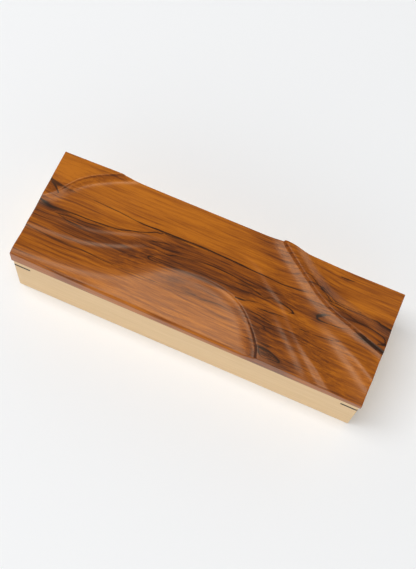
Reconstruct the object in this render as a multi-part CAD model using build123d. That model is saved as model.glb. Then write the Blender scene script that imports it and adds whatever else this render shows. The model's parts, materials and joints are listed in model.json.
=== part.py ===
from build123d import *
import math
import os

import numpy as np

# Keepsake box with a carved lid. Millimetres, +Z up.
# The origin is on the surface the box stands on, under the middle of the lid.
# +X runs along the length to the right, and the front of the box faces -Y.

# Lid board
lid_length = 305.0
lid_width = 102.0

# How far the lid stands out past the box
overhang_end = 1.0
overhang_front = 0.5
overhang_rear = 3.0

# Box walls
box_height = 52.0
wall = 9.5
corner_round = 0.6          # upright outer corners of the box
foot_chamfer = 0.4

# Bottom panel and its groove
groove_height = 5.0         # underside of the groove above the foot of the walls
groove_depth = 4.5
panel_thickness = 4.0
panel_play_over = 0.1
panel_play_side = 0.4

# Felt liner
liner_thickness = 1.5
liner_gap = 0.3

# Corner keys
key_leg = 14.5
key_thickness = 3.0
key_below_rim = 8.6         # middle of the key below the top edge of the walls

# Hinges
hinge_length = 25.0
hinge_from_middle = 92.0
leaf_thickness = 1.2
leaf_reach = 8.0            # from the pin's axis to the leaf's far edge
leaf_sink = 0.15            # leaf face below the wood's face
barrel_radius = 1.8
barrel_clearance = 0.2
leaf_clearance = 0.1
knuckles = 5
knuckle_gap = 0.1
pin_radius = 0.9
pin_fit_tight = 0.01
pin_fit_running = 0.05
pin_behind_box = 0.4        # the pin's axis behind the rear face of the walls

# Hinge screws
screws_per_leaf = 2
screw_spacing = 15.0
screw_from_pin = 5.0
screw_head_radius = 2.1
screw_head_height = 1.0
screw_shank_radius = 1.1
screw_length_box = 8.0
screw_length_lid = 5.0
screw_clearance = 0.05
screw_slot_width = 0.5
screw_slot_depth = 0.4
cut_beyond = 1.0            # how far a cut runs out past the face that it opens

# Carving: heights of the lid's top above its underside at the four corners
corner_front_left = 13.6
corner_front_right = 6.2
corner_rear_right = 8.6
corner_rear_left = 12.4

# Carving: depth of the relief, and the forms that aren't lines
relief_step = 1.0           # unit of the heights, reaches and walls in the tables of lines
bay_start = 0.3             # the bay's floor at the front edge, above the board's slope
bay_sink = 1.6              # how much lower that is at the right-hand end of the bay
bay_crown = 0.7
bay_crown_width = 45.0
bay_slope_right = 0.15      # rise of the bay's floor towards the rim
bay_slope_left = 0.28
front_mound = 2.6           # soft mound at the front, right of the rim
rear_dish = 1.8             # soft dip at the rear, right of the ridge
ridge_skirt = 13.0          # width of the soft foot of the ridge's wall
ridge_skirt_share = 0.12
ridge_flat_share = 0.18     # share of the ridge's reach that stays at full height
blade_fade = 6.0            # how soon a line dies away past its end
swell_fade = 8.0
front_round_ends = 0.8      # radius of the lid's front edge
front_round_middle = 2.8

# Places that follow from the sizes above
left_x = -lid_length / 2 + overhang_end
right_x = lid_length / 2 - overhang_end
front_y = -lid_width / 2 + overhang_front
rear_y = lid_width / 2 - overhang_rear
inner_left = left_x + wall
inner_right = right_x - wall
inner_front = front_y + wall
inner_rear = rear_y - wall
panel_top = groove_height + panel_thickness
pin_y = rear_y + pin_behind_box
pin_z = box_height
hinge_sides = {"left": -hinge_from_middle, "right": hinge_from_middle}


def slab(x0, x1, y0, y1, z0, z1):
    """A block between two opposite corners."""
    size = (x1 - x0, y1 - y0, z1 - z0)
    return Pos((x0 + x1) / 2, (y0 + y1) / 2, (z0 + z1) / 2) * Box(*size)


def plan_prism(corners, z0, z1):
    """A straight prism over a polygon drawn in plan."""
    outline = make_face(Polyline(*[(x, y, z0) for x, y in corners], close=True))
    return extrude(outline, amount=z1 - z0, dir=(0, 0, 1))


def rod(radius, x0, x1, y, z):
    """A round rod that lies along X."""
    return Pos((x0 + x1) / 2, y, z) * Rot(0, 90, 0) * Cylinder(radius, x1 - x0)


def outer_form():
    """The outside of the box: its upright corners and its foot are eased."""
    block = slab(left_x, right_x, front_y, rear_y, 0, box_height)
    block = fillet(block.edges().filter_by(Axis.Z), corner_round)
    return chamfer(block.edges().group_by(Axis.Z)[0], foot_chamfer)


form = outer_form()


# Corner keys: triangular slips let into a saw cut across each mitre

def key_prism(side, end):
    """side is -1 at the left and 1 at the right, end is -1 at the front and 1 at the rear."""
    x = right_x if side > 0 else left_x
    y = rear_y if end > 0 else front_y
    corners = [(x, y), (x - side * key_leg, y), (x, y - end * key_leg)]
    middle = box_height - key_below_rim
    return form & plan_prism(corners, middle - key_thickness / 2, middle + key_thickness / 2)


key_places = {
    "front_left": (-1, -1),
    "front_right": (1, -1),
    "rear_left": (-1, 1),
    "rear_right": (1, 1),
}
keys = {name: key_prism(side, end) for name, (side, end) in key_places.items()}


# Hinges: brass butts, set in mortises in the rear wall and in the lid

def knuckle_spans(x):
    """The stretches of the barrel, from left to right: even ones belong to the box's leaf."""
    pitch = hinge_length / knuckles
    start = x - hinge_length / 2
    return [
        (start + i * pitch + knuckle_gap / 2, start + (i + 1) * pitch - knuckle_gap / 2)
        for i in range(knuckles)
    ]


def screw_xs(x):
    first = x - screw_spacing * (screws_per_leaf - 1) / 2
    return [first + i * screw_spacing for i in range(screws_per_leaf)]


def screw(x, up, length, radial_play):
    """A countersunk wood screw with its head in a leaf; up is 1 in the box and -1 in the lid."""
    face = pin_z - up * leaf_sink
    y = pin_y - screw_from_pin
    head = Pos(x, y, face - up * screw_head_height / 2) * Cone(
        (screw_shank_radius if up > 0 else screw_head_radius) + radial_play,
        (screw_head_radius if up > 0 else screw_shank_radius) + radial_play,
        screw_head_height,
    )
    shank = Pos(x, y, face - up * length / 2) * Cylinder(screw_shank_radius + radial_play, length)
    return head + shank


def slotted_screws(x, up, length):
    group = []
    for sx in screw_xs(x):
        face = pin_z - up * leaf_sink
        y = pin_y - screw_from_pin
        slot = Pos(sx, y, face) * Box(
            2 * (screw_head_radius + cut_beyond), screw_slot_width, 2 * screw_slot_depth
        )
        group.append(screw(sx, up, length, 0) - slot)
    return group


def leaf(x, up):
    """A hinge leaf with its own knuckles; up is 1 for the box's leaf and -1 for the lid's."""
    face = pin_z - up * leaf_sink
    back = face - up * leaf_thickness
    low, high = min(face, back), max(face, back)
    plate_rear = pin_y - barrel_radius - knuckle_gap
    body = slab(x - hinge_length / 2, x + hinge_length / 2, pin_y - leaf_reach, plate_rear, low, high)
    for i, (x0, x1) in enumerate(knuckle_spans(x)):
        if (i % 2 == 0) == (up > 0):
            body += slab(x0, x1, plate_rear - barrel_radius / 2, pin_y, low, high)
            body += rod(barrel_radius, x0, x1, pin_y, pin_z)
    play = pin_fit_tight if up > 0 else pin_fit_running
    body -= rod(pin_radius + play, x - hinge_length, x + hinge_length, pin_y, pin_z)
    through = leaf_thickness + screw_head_height + cut_beyond
    for sx in screw_xs(x):
        body -= screw(sx, up, through, screw_clearance)
    return body


def hinge_room(x, up, length):
    """What is cut from the wood for one leaf, its barrel and its screws."""
    half = hinge_length / 2 + leaf_clearance
    depth = leaf_sink + leaf_thickness
    z0, z1 = (pin_z - depth, pin_z + cut_beyond) if up > 0 else (pin_z - cut_beyond, pin_z + depth)
    room = slab(x - half, x + half, pin_y - leaf_reach - leaf_clearance, pin_y, z0, z1)
    swept = barrel_radius + barrel_clearance
    room += rod(swept, x - half, x + half, pin_y, pin_z)
    if up < 0:
        # the barrel shows at the back, so the lid's overhang is cut away behind it
        out_y = lid_width / 2 + cut_beyond
        room += slab(x - half, x + half, pin_y, out_y, pin_z - cut_beyond, pin_z + swept)
    for sx in screw_xs(x):
        room += screw(sx, up, length + screw_clearance, screw_clearance)
    return room


# Box walls: mitred at the corners, grooved for the bottom panel

def box_wall(corners, cuts):
    body = form & plan_prism(corners, 0, box_height)
    body -= slab(
        inner_left - groove_depth, inner_right + groove_depth,
        inner_front - groove_depth, inner_rear + groove_depth,
        groove_height, panel_top + panel_play_over,
    )
    for cut in cuts:
        body -= cut
    return body


outer = {
    "front_left": (left_x, front_y),
    "front_right": (right_x, front_y),
    "rear_left": (left_x, rear_y),
    "rear_right": (right_x, rear_y),
}
inner = {
    "front_left": (inner_left, inner_front),
    "front_right": (inner_right, inner_front),
    "rear_left": (inner_left, inner_rear),
    "rear_right": (inner_right, inner_rear),
}


def wall_between(first, second, extra_cuts=()):
    corners = [outer[first], outer[second], inner[second], inner[first]]
    return box_wall(corners, [keys[first], keys[second], *extra_cuts])


rear_cuts = [hinge_room(x, 1, screw_length_box) for x in hinge_sides.values()]
parts = {
    "front_wall": wall_between("front_left", "front_right"),
    "rear_wall": wall_between("rear_left", "rear_right", rear_cuts),
    "left_wall": wall_between("front_left", "rear_left"),
    "right_wall": wall_between("front_right", "rear_right"),
}
for name, key in keys.items():
    parts["corner_key_" + name] = key

reach = groove_depth - panel_play_side
parts["bottom_panel"] = slab(
    inner_left - reach, inner_right + reach,
    inner_front - reach, inner_rear + reach,
    groove_height, panel_top,
)
parts["felt_liner"] = slab(
    inner_left + liner_gap, inner_right - liner_gap,
    inner_front + liner_gap, inner_rear - liner_gap,
    panel_top, panel_top + liner_thickness,
)


# Carved lid. A carving line is a row of points (along, across, height, reach, wall). Along is the
# percentage of the lid's length from the left, and across that of its width from the front.
# Height is how high the carving stands on the line, reach how far it runs on behind the line,
# and wall how wide the slope before it is, all three in steps of relief_step.

rim_line = [
    (-6.4, 4.9, 2.4, 12, 6.0), (0.2, 6.9, 2.8, 12, 6.0), (9.0, 9.8, 3.0, 13, 6.0),
    (16.7, 12.7, 3.4, 14, 6.0), (26.7, 20.0, 4.3, 17, 6.0), (32.0, 27.8, 5.2, 21, 5.0),
    (36.2, 35.0, 6.2, 26, 3.0), (40.2, 39.6, 7.0, 30, 2.0), (46.1, 42.7, 7.5, 34, 1.8),
    (52.1, 42.8, 7.6, 36, 2.0), (56.7, 40.5, 7.4, 36, 2.2), (60.2, 36.4, 7.2, 36, 2.4),
    (63.4, 29.5, 6.7, 36, 2.5), (66.7, 18.8, 5.8, 36, 2.6), (68.8, 10.4, 4.9, 36, 2.6),
    (69.8, 3.9, 4.2, 36, 2.6), (70.3, -2.9, 3.6, 36, 2.6),
]
ridge_line = [
    (62.1, 110.8, 9.0, 17, 3.2), (64.7, 101.0, 9.2, 17, 3.2), (66.6, 95.6, 9.0, 16, 3.2),
    (71.7, 84.1, 8.2, 15, 3.2), (75.1, 76.9, 7.6, 15, 3.2), (78.7, 69.4, 7.0, 16, 3.2),
    (82.0, 64.1, 6.6, 18, 3.4), (85.4, 60.0, 6.4, 20, 3.6), (88.7, 56.8, 6.4, 21, 3.6),
    (92.0, 53.5, 6.6, 23, 3.6), (95.2, 50.0, 6.8, 24, 3.6), (98.5, 46.5, 7.0, 26, 3.6),
    (102.5, 42.2, 7.2, 27, 3.6),
]
blade_line = [
    (22.5, 105.9, 4.4, 20, 3.0), (18.2, 100.5, 4.6, 20, 3.0), (15.9, 97.6, 4.6, 20, 3.2),
    (13.9, 94.3, 4.6, 20, 3.4), (11.3, 89.8, 4.5, 20, 3.6), (9.3, 85.7, 4.3, 20, 3.6),
    (7.7, 81.6, 4.0, 20, 3.6), (6.4, 77.3, 3.6, 20, 3.6), (5.2, 72.9, 3.1, 20, 3.8),
    (4.2, 68.6, 2.6, 18, 4.2), (3.0, 63.7, 2.1, 15, 4.8), (0.8, 58.3, 1.7, 12, 5.4),
    (-3.1, 52.0, 1.4, 12, 6.0),
]
# A swell is a soft wave: its reach is the width of its rear side and its wall that of its front
swell_lines = [
    [(-2.5, 30.4, 0.9, 9, 4.5), (7.4, 32.4, 1.2, 9, 4.5), (15.2, 34.8, 1.5, 9, 4.5),
     (20.2, 38.7, 1.6, 9, 4.5), (26.1, 45.3, 1.6, 9, 4.5), (31.0, 52.0, 1.1, 9, 4.5),
     (35.2, 56.9, 0.1, 9, 4.5)],
    [(4.1, 43.6, 0.2, 10, 4.5), (10.7, 45.9, 0.8, 10, 4.5), (16.6, 47.5, 1.3, 10, 4.5),
     (22.5, 52.9, 1.6, 10, 4.5), (28.4, 58.8, 1.6, 10, 4.5), (34.3, 63.2, 1.1, 10, 4.5),
     (40.2, 66.7, 0.2, 10, 4.5)],
    [(55.9, 80.4, 0.2, 9, 4.0), (61.8, 71.6, 0.9, 9, 4.0), (66.4, 60.3, 1.2, 9, 4.0),
     (71.3, 50.5, 1.4, 9, 4.0), (76.2, 34.8, 1.6, 9, 4.0), (81.8, 20.6, 2.0, 9, 4.0),
     (85.4, 12.7, 2.0, 9, 4.0), (89.3, 3.9, 1.3, 9, 4.0), (92.6, -3.9, 1.0, 9, 4.0)],
    [(68.4, 48.0, 0.2, 7, 4.5), (72.3, 36.3, 1.1, 7, 4.5), (76.2, 25.5, 1.4, 7, 4.5),
     (80.2, 14.7, 1.2, 7, 4.5), (84.1, 3.9, 0.4, 7, 4.5)],
    [(81.5, 53.9, 0.2, 9, 6.5), (85.4, 47.1, 1.0, 9, 6.5), (90.0, 39.7, 2.2, 9, 6.5),
     (94.6, 32.4, 3.2, 9, 6.5), (99.2, 24.0, 3.6, 9, 6.5), (103.1, 17.6, 3.6, 9, 6.5)],
    [(92.0, 44.1, 0.0, 5, 3.0), (95.9, 39.7, 0.7, 5, 3.0), (99.8, 34.8, 1.0, 5, 3.0),
     (103.8, 30.4, 1.0, 5, 3.0)],
]
front_mound_place, front_mound_spread = (79.5, 1.0), (11.8, 25.5)     # along and across, in percent
rear_dish_place, rear_dish_spread = (84.4, 101.0), (10.5, 23.5)
line_steps = 24             # pieces between two points of a carving line
section_count = 61          # the lid's solid runs through this many stretches along its length
section_points = 20


def carving_line(points):
    """A smooth line through the points, in millimetres: x, y, height, reach and wall."""
    rows = np.array(points, float)
    rows[:, 0] = (rows[:, 0] / 100 - 0.5) * lid_length
    rows[:, 1] = (rows[:, 1] / 100 - 0.5) * lid_width
    rows[:, 2:] *= relief_step
    rows = np.vstack([2 * rows[0] - rows[1], rows, 2 * rows[-1] - rows[-2]])
    t = np.linspace(0, 1, line_steps, endpoint=False)[:, None]
    pieces = []
    for a, b, c, d in zip(rows, rows[1:], rows[2:], rows[3:]):
        pieces.append(
            b + (c - a) * t / 2
            + (a - 2.5 * b + 2 * c - d / 2) * t**2
            + (1.5 * (b - c) + (d - a) / 2) * t**3
        )
    return np.vstack(pieces + [rows[-2:-1]])


def beside(line, x, y):
    """Signed distance from the line (plus is its left side), its height, reach and wall there,
    and how far the place lies past the line's end."""
    place = np.array([x, y])
    i = int(np.argmin(((line[:, :2] - place) ** 2).sum(axis=1)))
    before, after = line[max(i - 1, 0), :2], line[min(i + 1, len(line) - 1), :2]
    along = (after - before) / np.linalg.norm(after - before)
    offset = place - line[i, :2]
    side = along[0] * offset[1] - along[1] * offset[0]
    forward = float(along @ offset)
    past = 0.0
    if i == 0:
        past = max(-forward, 0.0)
    elif i == len(line) - 1:
        past = max(forward, 0.0)
    return side, *line[i, 2:], past


def ease(start, end, value):
    """0 at start, 1 at end, and smooth between."""
    t = min(max((value - start) / (end - start), 0.0), 1.0)
    return t * t * (3 - 2 * t)


def bell(value):
    """1 at 0, and soft on both sides of it."""
    return math.exp(-value * value)


def soft_spot(along, across, place, spread):
    """A round form that is 1 in its middle, placed and sized in percent of the lid."""
    return bell((along * 100 - place[0]) / spread[0]) * bell((across * 100 - place[1]) / spread[1])


rim = carving_line(rim_line)
ridge = carving_line(ridge_line)
blade = carving_line(blade_line)
swells = [carving_line(points) for points in swell_lines]


def board_height(along, across):
    """The board before it is carved: a plane-like top through the four corner heights."""
    front = corner_front_left * (1 - along) + corner_front_right * along
    rear = corner_rear_left * (1 - along) + corner_rear_right * along
    return front * (1 - across) + rear * across


def bay_height(along, from_front):
    """The floor of the bay at the front, which climbs to the rim."""
    slope = bay_slope_right + (bay_slope_left - bay_slope_right) * (1 - ease(0.01, 0.43, along))
    crown = bay_crown * math.sin(math.pi * min(from_front / bay_crown_width, 1))
    return bay_start - bay_sink * ease(0.30, 0.63, along) + slope * from_front + crown


def top_height(x, y):
    """Height of the carved top above the lid's underside."""
    along = x / lid_length + 0.5
    across = y / lid_width + 0.5
    height = board_height(along, across)

    # Behind the rim the board falls away gently; before it lies the bay
    side, crest, reach, wall_width, _ = beside(rim, x, y)
    if side < 0:
        bay = bay_height(along, y + lid_width / 2)
        height += bay + (crest - bay) * math.exp(side / wall_width)
    else:
        height += crest / (1 + (side / reach) ** 2) ** 1.5
        height += front_mound * soft_spot(along, across, front_mound_place, front_mound_spread)

    # The long ridge: a scooped wall before it and a rounded back
    side, crest, reach, wall_width, _ = beside(ridge, x, y)
    if side < 0:
        scoop = (1 - ridge_skirt_share) * math.exp(side / wall_width)
        height += crest * (scoop + ridge_skirt_share * bell(side / ridge_skirt))
    else:
        height += crest * (1 - ease(ridge_flat_share, 1.0, side / reach))
        height -= rear_dish * soft_spot(along, across, rear_dish_place, rear_dish_spread)

    # The blade in the far left corner, whose scooped side is its left
    side, crest, reach, wall_width, past = beside(blade, x, y)
    fall = math.exp(-side / wall_width) if side > 0 else math.exp(side / reach)
    height += crest * fall * bell(past / blade_fade)

    for line in swells:
        side, crest, reach, wall_width, past = beside(line, x, y)
        width = wall_width if side < 0 else reach
        height += crest * bell(side / width) * bell(past / swell_fade)
    return height


def front_round(along):
    """Radius of the rounded front edge: larger along the bay than at the ends."""
    middle = ease(0.04, 0.30, along) * (1 - ease(0.60, 0.70, along))
    return front_round_ends + (front_round_middle - front_round_ends) * middle


def lid_section(x):
    """The outline of the lid where it is cut square across its length."""
    round_size = front_round(x / lid_length + 0.5)
    y_front, y_rear = -lid_width / 2, lid_width / 2
    y_start = y_front + round_size
    top = []
    for i in range(section_points + 1):
        y = y_start + (y_rear - y_start) * i / section_points
        top.append((x, y, box_height + top_height(x, y)))
    z_start = top[0][2]
    return Wire([
        Edge.make_line((x, y_front, box_height), (x, y_rear, box_height)),
        Edge.make_line((x, y_rear, box_height), top[-1]),
        Edge.make_spline([Vector(*point) for point in reversed(top)]),
        Edge.make_bezier(top[0], (x, y_front, z_start), (x, y_front, z_start - round_size)),
        Edge.make_line((x, y_front, z_start - round_size), (x, y_front, box_height)),
    ])


stations = [-lid_length / 2 + lid_length * i / section_count for i in range(section_count + 1)]
lid = Solid.make_loft([lid_section(x) for x in stations])
for x in hinge_sides.values():
    lid -= hinge_room(x, -1, screw_length_lid)
parts["lid_panel"] = lid

for side, x in hinge_sides.items():
    parts[side + "_hinge_body_leaf"] = leaf(x, 1)
    parts[side + "_hinge_lid_leaf"] = leaf(x, -1)
    parts[side + "_hinge_pin"] = rod(
        pin_radius, x - hinge_length / 2, x + hinge_length / 2, pin_y, pin_z
    )
    parts[side + "_hinge_body_screws"] = Compound(children=slotted_screws(x, 1, screw_length_box))
    parts[side + "_hinge_lid_screws"] = Compound(children=slotted_screws(x, -1, screw_length_lid))

os.makedirs("parts", exist_ok=True)
for name, shape in parts.items():
    export_step(shape, os.path.join("parts", name + ".step"))
print(len(parts), "pieces written")
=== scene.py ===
# %% [markdown]
# A keepsake box: four mitred walls of pale wood, dark keys across the corners, a felt liner, two
# brass hinges, and a lid that is one board of figured wood with a flowing relief carved in its top.
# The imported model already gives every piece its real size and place. This script keeps those, gives
# each piece its finish, and makes again the pieces whose look is finer than a plain solid: the
# carved lid, the felt and the screws.

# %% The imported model
import json
import math

import bpy
import numpy as np
from mathutils import Matrix, Vector

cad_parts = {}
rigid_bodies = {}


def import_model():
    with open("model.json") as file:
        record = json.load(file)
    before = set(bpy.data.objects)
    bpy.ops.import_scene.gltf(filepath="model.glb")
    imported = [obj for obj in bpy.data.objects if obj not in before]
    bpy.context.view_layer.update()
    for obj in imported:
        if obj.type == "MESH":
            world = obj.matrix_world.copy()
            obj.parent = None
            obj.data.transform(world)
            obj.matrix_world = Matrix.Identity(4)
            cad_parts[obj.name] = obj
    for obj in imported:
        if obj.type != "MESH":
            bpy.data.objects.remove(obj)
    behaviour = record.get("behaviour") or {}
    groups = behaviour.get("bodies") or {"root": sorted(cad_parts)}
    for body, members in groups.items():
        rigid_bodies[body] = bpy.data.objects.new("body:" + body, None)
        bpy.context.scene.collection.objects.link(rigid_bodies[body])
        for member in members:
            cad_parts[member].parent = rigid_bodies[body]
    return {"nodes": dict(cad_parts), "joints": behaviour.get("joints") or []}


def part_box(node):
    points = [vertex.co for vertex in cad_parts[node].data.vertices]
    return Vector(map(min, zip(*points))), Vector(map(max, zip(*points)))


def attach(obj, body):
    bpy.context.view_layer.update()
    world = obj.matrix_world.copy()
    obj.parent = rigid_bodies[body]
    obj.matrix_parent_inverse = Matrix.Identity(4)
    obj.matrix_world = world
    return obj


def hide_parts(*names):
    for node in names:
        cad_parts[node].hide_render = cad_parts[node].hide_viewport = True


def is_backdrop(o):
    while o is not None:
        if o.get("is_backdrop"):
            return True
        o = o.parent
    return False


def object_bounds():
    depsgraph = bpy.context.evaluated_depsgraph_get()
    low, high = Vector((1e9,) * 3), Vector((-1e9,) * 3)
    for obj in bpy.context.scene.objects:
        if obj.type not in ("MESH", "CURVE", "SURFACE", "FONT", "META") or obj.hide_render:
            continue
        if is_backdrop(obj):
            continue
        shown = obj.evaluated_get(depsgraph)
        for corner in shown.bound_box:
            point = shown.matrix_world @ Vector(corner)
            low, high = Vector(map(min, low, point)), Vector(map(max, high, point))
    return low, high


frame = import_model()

mm = 0.001
scene = bpy.context.scene
packed = frame["nodes"]
for extra in [o for o in bpy.data.objects if o.name[:5] != "body:" and o.name not in packed]:
    bpy.data.objects.remove(extra)

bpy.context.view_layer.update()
lid_low, lid_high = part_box("lid_panel")
lid_length = lid_high.x - lid_low.x
lid_width = lid_high.y - lid_low.y
underside = lid_low.z
hinge_joint = frame["joints"][0]
print("lid", round(lid_length / mm, 2), "x", round(lid_width / mm, 2), "mm, underside at",
      round(underside / mm, 2), "mm")

# %% [markdown]
# The camera stands where the photograph was taken from: in front of the box, a little to its right,
# looking steeply down. Its place was worked out from the corners of the lid in the photograph. The
# focal length is written in pixels of the photograph and turned into millimetres of lens here.

# %% Camera
photo_width, photo_height = 416, 569
focal_pixels = 1076.35
sensor = 36.0
camera_place = Vector((83.9, -310.3, 870.9)) * mm
camera_turn = math.radians(-15.037)
camera_dip = math.radians(68.845)
camera_roll = math.radians(8.787)
camera_reach = 20.0

forward = Vector((
    math.sin(camera_turn) * math.cos(camera_dip),
    math.cos(camera_turn) * math.cos(camera_dip),
    -math.sin(camera_dip),
))
level_right = Vector((math.cos(camera_turn), -math.sin(camera_turn), 0))
level_up = level_right.cross(forward)
right = math.cos(camera_roll) * level_right + math.sin(camera_roll) * level_up
up = math.cos(camera_roll) * level_up - math.sin(camera_roll) * level_right

camera = bpy.data.objects.new("camera", bpy.data.cameras.new("camera"))
scene.collection.objects.link(camera)
camera.data.sensor_width = sensor
camera.data.lens = focal_pixels * sensor / max(photo_width, photo_height)
camera.data.clip_end = camera_reach
turned = Matrix((right, up, -forward)).transposed().to_4x4()
camera.matrix_world = Matrix.Translation(camera_place) @ turned
scene.camera = camera
print("lens", round(camera.data.lens, 1), "mm")

# %% [markdown]
# Materials and shapes below are node trees written as code. A node tree is easier to read as a
# formula, so the small class here stands for one output of a node: adding or multiplying two of
# them adds the Math node that does it. It works in shader trees and in geometry trees alike.


# %% Nodes written as formulas
class Field:
    """One output of a node, used like a number in a formula."""

    def __init__(self, socket):
        self.socket = socket
        self.tree = socket.id_data

    def __neg__(self):
        return calc("MULTIPLY", self, -1)


def math_operator(operation, swapped):
    if swapped:
        return lambda self, other: calc(operation, other, self)
    return lambda self, other: calc(operation, self, other)


for sign, operation in (("add", "ADD"), ("sub", "SUBTRACT"), ("mul", "MULTIPLY"),
                        ("truediv", "DIVIDE"), ("pow", "POWER")):
    setattr(Field, f"__{sign}__", math_operator(operation, False))
    setattr(Field, f"__r{sign}__", math_operator(operation, True))


# %% Putting nodes into a tree
def connect(value, socket):
    """Puts a number, an object or another node's output into a socket."""
    if isinstance(value, Field):
        socket.id_data.links.new(value.socket, socket)
    else:
        socket.default_value = value


def socket_of(sockets, name):
    """A socket by its place or by its name, passing over those that the node has switched off."""
    if isinstance(name, int):
        return sockets[name]
    return next(socket for socket in sockets if socket.name == name and socket.enabled)


def feed(node, inputs):
    for name, value in inputs.items():
        connect(value, socket_of(node.inputs, name))


def put(tree, kind, inputs=None, **settings):
    """Adds a node to a tree, with its settings and with what goes into its sockets."""
    node = tree.nodes.new(kind)
    for name, value in settings.items():
        setattr(node, name, value)
    feed(node, inputs or {})
    return node


def out(node, name=0):
    return Field(socket_of(node.outputs, name))


def calc(operation, *values):
    tree = next(value.tree for value in values if isinstance(value, Field))
    return out(put(tree, "ShaderNodeMath", dict(enumerate(values)), operation=operation))


def ease(start, end, value):
    """0 at start and 1 at end, smooth between, whichever of the two is larger."""
    places = {0: value, 1: start, 2: end}
    return out(put(value.tree, "ShaderNodeMapRange", places, interpolation_type="SMOOTHSTEP"))


def exp(value):
    return calc("EXPONENT", value)


def square(value):
    return value * value


def split(vector):
    node = put(vector.tree, "ShaderNodeSeparateXYZ", {0: vector})
    return out(node, 0), out(node, 1), out(node, 2)


def join(tree, x, y, z):
    return out(put(tree, "ShaderNodeCombineXYZ", {0: x, 1: y, 2: z}))


# %% Groups, meshes and pieces
def new_tree(name, kind, inputs, outputs, **defaults):
    """A node group whose sockets are listed by their type. Gives the tree, its inputs and its
    output sockets."""
    tree = bpy.data.node_groups.new(name, kind)
    for side, types in (("INPUT", inputs), ("OUTPUT", outputs)):
        for sort, labels in types.items():
            for label in labels:
                sockets = tree.interface
                socket = sockets.new_socket(label, in_out=side, socket_type="NodeSocket" + sort)
                if label in defaults:
                    socket.default_value = defaults[label]
    start = tree.nodes.new("NodeGroupInput")
    end = tree.nodes.new("NodeGroupOutput")
    return tree, {s.name: Field(s) for s in start.outputs if s.name}, end.inputs


def mesh_of(name, points, faces, edges=()):
    mesh = bpy.data.meshes.new(name)
    mesh.from_pydata(points, edges, faces)
    return mesh


def new_piece(name, mesh):
    piece = bpy.data.objects.new(name, mesh)
    scene.collection.objects.link(piece)
    return piece


def smooth_shaded(piece, sharp_degrees):
    piece.data.shade_smooth()
    piece.data.set_sharp_from_angle(angle=math.radians(sharp_degrees))


def made_plain(piece, tree, values):
    """Runs a geometry nodes tree on a piece and keeps the result as its plain mesh."""
    modifier = piece.modifiers.new(tree.name, "NODES")
    modifier.node_group = tree
    for item in tree.interface.items_tree:
        if item.item_type == "SOCKET" and item.in_out == "INPUT" and item.name in values:
            modifier[item.identifier] = values[item.name]
    bpy.context.view_layer.update()
    shape = piece.evaluated_get(bpy.context.evaluated_depsgraph_get())
    mesh = bpy.data.meshes.new_from_object(shape)
    piece.modifiers.clear()
    mesh.name = piece.name
    piece.data = mesh


# %% [markdown]
# The box stands on a white table in a plain studio. The floor is a very wide white sheet, so that
# no edge of it shows. One long soft lamp hangs high above the box and reaches to the left. The
# lid's finish mirrors it where the carving leans a little forwards, and its left part gives the
# pale shadow at the right-hand end. The world is a dim ceiling above pale walls, which light the
# box's sides.

# %% Sizes of the studio
background = 0.91  # what the camera sees beyond the floor
floor_reach = 30.0
floor_white = (0.93, 0.94, 0.95, 1)
floor_fades = (0.35, 1.1)  # from here to there, in metres, it turns into the background
lamp_radiance = 6.0
lamp_length, lamp_depth = 4.0, 1.6
lamp_place = Vector((-1.0, -0.30, 4.0))
ceiling_light = 0.08
wall_light, front_wall_light = 0.85, 0.45


def new_material(name, **constants):
    """A material with one Principled shader, whose even values are set on its own sockets."""
    material = bpy.data.materials.new(name)
    material.use_nodes = True
    tree = material.node_tree
    shader = tree.nodes["Principled BSDF"]
    for socket, value in constants.items():
        shader.inputs[socket.replace("_", " ")].default_value = value
    return material, tree, shader


def object_place(tree):
    return out(put(tree, "ShaderNodeTexCoord"), "Object")


def shown_rays(tree):
    """1 for rays that the camera, a shiny surface or glass looks along, 0 for those that light."""
    rays = put(tree, "ShaderNodeLightPath")
    mirrored = calc("MAXIMUM", out(rays, "Is Glossy Ray"), out(rays, "Is Transmission Ray"))
    return calc("MAXIMUM", out(rays, "Is Camera Ray"), mirrored)


# %% Floor
def floor_material():
    """White, and far from the box the plain background itself, so that no horizon shows."""
    material, tree, shader = new_material(
        "floor white", Base_Color=floor_white, Roughness=0.9, Specular_IOR_Level=0.1)
    x, y, _ = split(object_place(tree))
    far = ease(*floor_fades, calc("SQRT", square(x) + square(y)))
    plain = put(tree, "ShaderNodeEmission", {"Color": (background, background, background, 1)})
    shares = {0: far * shown_rays(tree), 1: out(shader), 2: out(plain)}
    mix = put(tree, "ShaderNodeMixShader", shares)
    feed(tree.nodes["Material Output"], {"Surface": out(mix)})
    return material


floor_corners = [(-floor_reach, -floor_reach, 0), (floor_reach, -floor_reach, 0),
                 (floor_reach, floor_reach, 0), (-floor_reach, floor_reach, 0)]
floor = new_piece("floor", mesh_of("floor", floor_corners, [(0, 1, 2, 3)]))
floor.data.materials.append(floor_material())
floor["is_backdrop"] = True

# %% Lamp and room
lamp = bpy.data.objects.new("lamp above", bpy.data.lights.new("lamp above", "AREA"))
scene.collection.objects.link(lamp)
lamp.data.shape = "RECTANGLE"
lamp.data.size, lamp.data.size_y = lamp_length, lamp_depth
lamp.data.energy = lamp_radiance * math.pi * lamp_length * lamp_depth
lamp.location = lamp_place
lamp.rotation_euler = (0, math.atan2(lamp_place.x, lamp_place.z), 0)

scene.world = bpy.data.worlds.new("room")
scene.world.use_nodes = True
room = scene.world.node_tree
_, depth_seen, height_seen = split(out(put(room, "ShaderNodeTexCoord"), "Generated"))
shown = shown_rays(room)
front_share = ease(0.0, -0.8, depth_seen)
lit_walls = ease(0.90, 0.15, height_seen) * (wall_light + front_share * front_wall_light)
pale_walls = ease(0.55, 0.05, height_seen) * (background - ceiling_light)
grey = ceiling_light + lit_walls * (1 - shown) + pale_walls * shown
feed(room.nodes["Background"], {"Color": join(room, grey, grey, grey), "Strength": 1.0})

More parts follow.
